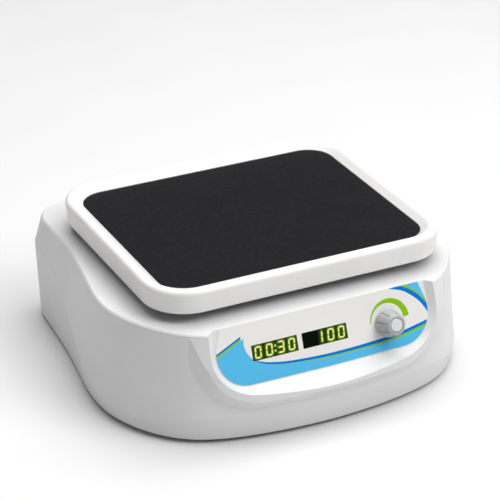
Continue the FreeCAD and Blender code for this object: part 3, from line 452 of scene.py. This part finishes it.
def printed_overlay():
    """The film with its printed fields: one sheet cut along every ink edge, then given its thickness."""
    holes = [window_loop(TIME_X), window_loop(SPEED_X), arc(KNOB, 4.7, 0, 360, 48)[:-1]]
    loops = [OUTLINE] + holes + [loop for _ink, loop in REGIONS]
    points, edges = [], []
    for loop in loops:
        start = len(points)
        points += [Vector(p) for p in loop]
        edges += [(start + k, start + (k + 1) % len(loop)) for k in range(len(loop))]
    verts, _edges, faces = delaunay_2d_cdt(points, edges, [], 0, 1e-5)[:3]
    flat = bmesh.new()
    made = [flat.verts.new(on_panel(v.x, v.y, FILM)) for v in verts]
    for face in faces:
        centre = sum((verts[i] for i in face), Vector((0, 0))) / len(face)
        if not inside(centre, OUTLINE) or any(inside(centre, hole) for hole in holes):
            continue
        ink = next((ink for ink, loop in REGIONS if inside(centre, loop)), "film")
        cut = flat.faces.new([made[i] for i in face])
        cut.material_index = INK_ORDER.index(ink)
    bmesh.ops.delete(flat, geom=[v for v in flat.verts if not v.link_faces], context="VERTS")
    bmesh.ops.recalc_face_normals(flat, faces=flat.faces)
    if sum((f.normal.dot(OUT) for f in flat.faces), 0.0) < 0:
        bmesh.ops.reverse_faces(flat, faces=flat.faces)
    sheet = bmesh.ops.duplicate(flat, geom=list(flat.faces))
    back = [g for g in sheet["geom"] if isinstance(g, bmesh.types.BMFace)]
    front_edges = [e for e in flat.edges if e.is_boundary and not any(f in back for f in e.link_faces)]
    twin = sheet["vert_map"]
    for v in {v for f in back for v in f.verts}:
        v.co -= OUT * (FILM * MM * 0.96)
    bmesh.ops.reverse_faces(flat, faces=back)
    for face in back:
        face.material_index = 0
    for e in front_edges:
        a, b = e.verts
        flat.faces.new([b, a, twin[a], twin[b]])
    bmesh.ops.recalc_face_normals(flat, faces=flat.faces)
    inks = [LOOKS["overlay_film"]] + [INKS[ink] for ink in INK_ORDER[1:]]
    piece = finish_mesh(flat, "panel_overlay_printed", inks)
    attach(piece, "base")
    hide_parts("panel_overlay")
    return piece


def finish_mesh(bm, name, materials, smooth=False):
    mesh = bpy.data.meshes.new(name)
    bm.to_mesh(mesh)
    bm.free()
    for material in materials:
        mesh.materials.append(material)
    for face in mesh.polygons:
        face.use_smooth = smooth
    piece = bpy.data.objects.new(name, mesh)
    bpy.context.scene.collection.objects.link(piece)
    return piece


printed_overlay()

# ---------------------------------------------------------------- the lit digits
DIGIT = (6.0, 10.0)
BAR = 1.25
SLANT = math.tan(math.radians(4))
DIGIT_STARTS = (2.4, 12.6, 23.2, 33.0)
LIT = {"0": "abcdef", "1": "bc", "3": "abcdg"}


def bar_shapes():
    """Each of the seven bars as its two ends, in a digit that stands on its lower left corner."""
    w, h, i = DIGIT[0], DIGIT[1], BAR / 2
    left, right, low, mid, top = i, w - i, i, h / 2, h - i
    return {"a": ((left, top), (right, top)), "b": ((right, mid), (right, top)),
            "c": ((right, low), (right, mid)), "d": ((left, low), (right, low)),
            "e": ((left, low), (left, mid)), "f": ((left, mid), (left, top)),
            "g": ((left, mid), (right, mid))}


def display(name, middle, text, colon):
    """One window's lit bars, and the glow that they throw on the tinted window round them."""
    bars = bar_shapes()
    lit = []
    for start, sign in zip(DIGIT_STARTS, text):
        x0, y0 = middle - WINDOW[0] / 2 + start, WINDOW_Y - DIGIT[1] / 2
        for part in LIT.get(sign, ""):
            ends = [Vector((x0 + x + SLANT * (y - DIGIT[1] / 2), y0 + y)) for x, y in bars[part]]
            lit.append(tuple(ends))
    spots = []
    if colon:
        for y in (-2.1, 2.1):
            spots.append(Vector((middle + 0.35 + SLANT * y, WINDOW_Y + y)))
    bm = bmesh.new()
    half = BAR / 2
    for a, b in lit:
        along = (b - a).normalized()
        side = Vector((-along.y, along.x))
        a, b = a + along * 0.16, b - along * 0.16
        ring = [a, a + along * half + side * half, b - along * half + side * half,
                b, b - along * half - side * half, a + along * half - side * half]
        raised_plate(bm, ring, FILM + 0.03, 0.03)
    for spot in spots:
        raised_plate(bm, arc(spot, 0.72, 0, 360, 20)[:-1], FILM + 0.03, 0.03)
    bars_piece = finish_mesh(bm, name + "_bars", [DIGIT_LOOK])
    glow = bmesh.new()
    w, h = WINDOW[0] / 2 - 0.15, WINDOW[1] / 2 - 0.15
    across, down = 132, 42
    grid, heat = [], []
    for j in range(down + 1):
        for i in range(across + 1):
            p = Vector((middle - w + 2 * w * i / across, WINDOW_Y - h + 2 * h * j / down))
            near = min([reach(p, a, b) for a, b in lit] + [(p - s).length for s in spots])
            grid.append(glow.verts.new(on_panel(p.x, p.y, FILM + 0.012)))
            heat.append(math.exp(-max(0.0, near - 0.5) / 1.5))
    for j in range(down):
        for i in range(across):
            k = j * (across + 1) + i
            ring = [k, k + 1, k + across + 2, k + across + 1]
            patch = glow.faces.new([grid[n] for n in ring])
            patch.material_index = min(GLOW_BANDS - 1, int(sum(heat[n] for n in ring) / 4 * GLOW_BANDS))
    bmesh.ops.recalc_face_normals(glow, faces=glow.faces)
    if sum((f.normal.dot(OUT) for f in glow.faces), 0.0) < 0:
        bmesh.ops.reverse_faces(glow, faces=glow.faces)
    glow_piece = finish_mesh(glow, name + "_glow", GLOW_LOOKS, smooth=True)
    for piece in (bars_piece, glow_piece):
        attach(piece, "base")


def reach(p, a, b):
    along = b - a
    t = max(0.0, min(1.0, (p - a).dot(along) / along.length_squared))
    return (p - a - along * t).length


def raised_plate(bm, ring, base, height):
    """A flat plate with that outline, standing on the panel level base."""
    low = [bm.verts.new(on_panel(p.x, p.y, base - height)) for p in ring]
    high = [bm.verts.new(on_panel(p.x, p.y, base)) for p in ring]
    faces = [bm.faces.new(high), bm.faces.new(list(reversed(low)))]
    for k in range(len(ring)):
        n = (k + 1) % len(ring)
        faces.append(bm.faces.new([low[k], low[n], high[n], high[k]]))
    bmesh.ops.recalc_face_normals(bm, faces=faces)


def digit_look():
    color = (0.72, 0.7, 0.2)
    look = Look("digit_light", (0.3, 0.3, 0.1), Specular_IOR_Level=0.2)
    speck = look.noise(0.5 * MM, 2.0)
    look.blend(look.span(speck, 0.4, 0.7), (0.34, 0.31, 0.09))
    look.rough(speck, 0.25, 0.4)
    glow = look.node("ShaderNodeMix", data_type="RGBA")
    glow.inputs["A"].default_value = (*color, 1.0)
    glow.inputs["B"].default_value = (0.84, 0.82, 0.33, 1.0)
    look.link(look.span(speck, 0.35, 0.65), glow.inputs["Factor"])
    look.link(glow.outputs["Result"], look.shader.inputs["Emission Color"])
    look.shader.inputs["Emission Strength"].default_value = 0.75
    return look.mat


def glow_look(band):
    """The tinted window lit from behind, in one band of brightness from far (0) to close by."""
    heat = (band + 0.5) / GLOW_BANDS
    look = Look("digit_glow_%d" % band, (0.001, 0.002, 0.001), Specular_IOR_Level=0.08)
    speck = look.noise(0.4 * MM, 2.0)
    lit = look.node("ShaderNodeMix", data_type="RGBA")
    near = tuple(c * heat ** power for c, power in zip((0.16, 0.25, 0.012), (2.4, 1.7, 2.2)))
    lit.inputs["A"].default_value = (*near, 1.0)
    lit.inputs["B"].default_value = (*shade(near, 1.25), 1.0)
    look.link(look.span(speck, 0.3, 0.7), lit.inputs["Factor"])
    look.link(lit.outputs["Result"], look.shader.inputs["Emission Color"])
    look.shader.inputs["Emission Strength"].default_value = 1.0
    look.rough(speck, 0.3, 0.4)
    return look.mat


GLOW_BANDS = 10
DIGIT_LOOK = digit_look()
GLOW_LOOKS = [glow_look(band) for band in range(GLOW_BANDS)]
display("time_display", TIME_X, "0030", True)
display("speed_display", SPEED_X, " 100", False)


# ---------------------------------------------------------------- floor, light and camera
FLOOR_TONE = 0.75
LIGHT_AIM = Vector((0, 0, 0.06))
CAMERA_DOWN, CAMERA_TURN = 27.24, -26.43      # degrees


def floor():
    bm = bmesh.new()
    bmesh.ops.create_grid(bm, x_segments=8, y_segments=8, size=4.0)
    look = Look("floor_paper", (FLOOR_TONE, FLOOR_TONE, FLOOR_TONE))
    look.blend(look.span(look.noise(0.4, 3.0), 0.3, 0.7, 0.0, 1.0), shade((FLOOR_TONE,) * 3, 0.995))
    look.bump(look.noise(1.5 * MM, 2.0), 0.02 * MM, 0.3)
    look.rough(look.noise(0.1, 2.0), 0.6, 0.7)
    piece = finish_mesh(bm, "floor", [look.mat])


def area_light(name, place, size, power):
    data = bpy.data.lights.new(name, "AREA")
    data.shape = "RECTANGLE"
    data.size = data.size_y = size
    data.energy = power
    light = bpy.data.objects.new(name, data)
    light.location = place
    light.rotation_euler = (LIGHT_AIM - Vector(place)).to_track_quat("-Z", "Y").to_euler()
    bpy.context.scene.collection.objects.link(light)


floor()
area_light("key", (1.0, -1.4, 1.8), 1.2, 29)
area_light("left", (-1.5, -1.0, 1.6), 1.4, 5)
area_light("top", (0.3, 0.3, 2.2), 2.6, 70)

scene = bpy.context.scene
world = bpy.data.worlds.new("studio")
world.use_nodes = True
world.node_tree.nodes["Background"].inputs["Color"].default_value = (1, 1, 1, 1)
world.node_tree.nodes["Background"].inputs["Strength"].default_value = 0.05
scene.world = world
scene.view_settings.view_transform = "Standard"

camera_data = bpy.data.cameras.new("camera")
camera_data.sensor_width = 36
camera_data.lens = 152.97
camera_data.clip_end = 50
camera = bpy.data.objects.new("camera", camera_data)
camera.location = (-0.7304, -1.4643, 0.9362)
camera.rotation_euler = (math.radians(90 - CAMERA_DOWN), 0, math.radians(CAMERA_TURN))
scene.collection.objects.link(camera)
scene.camera = camera
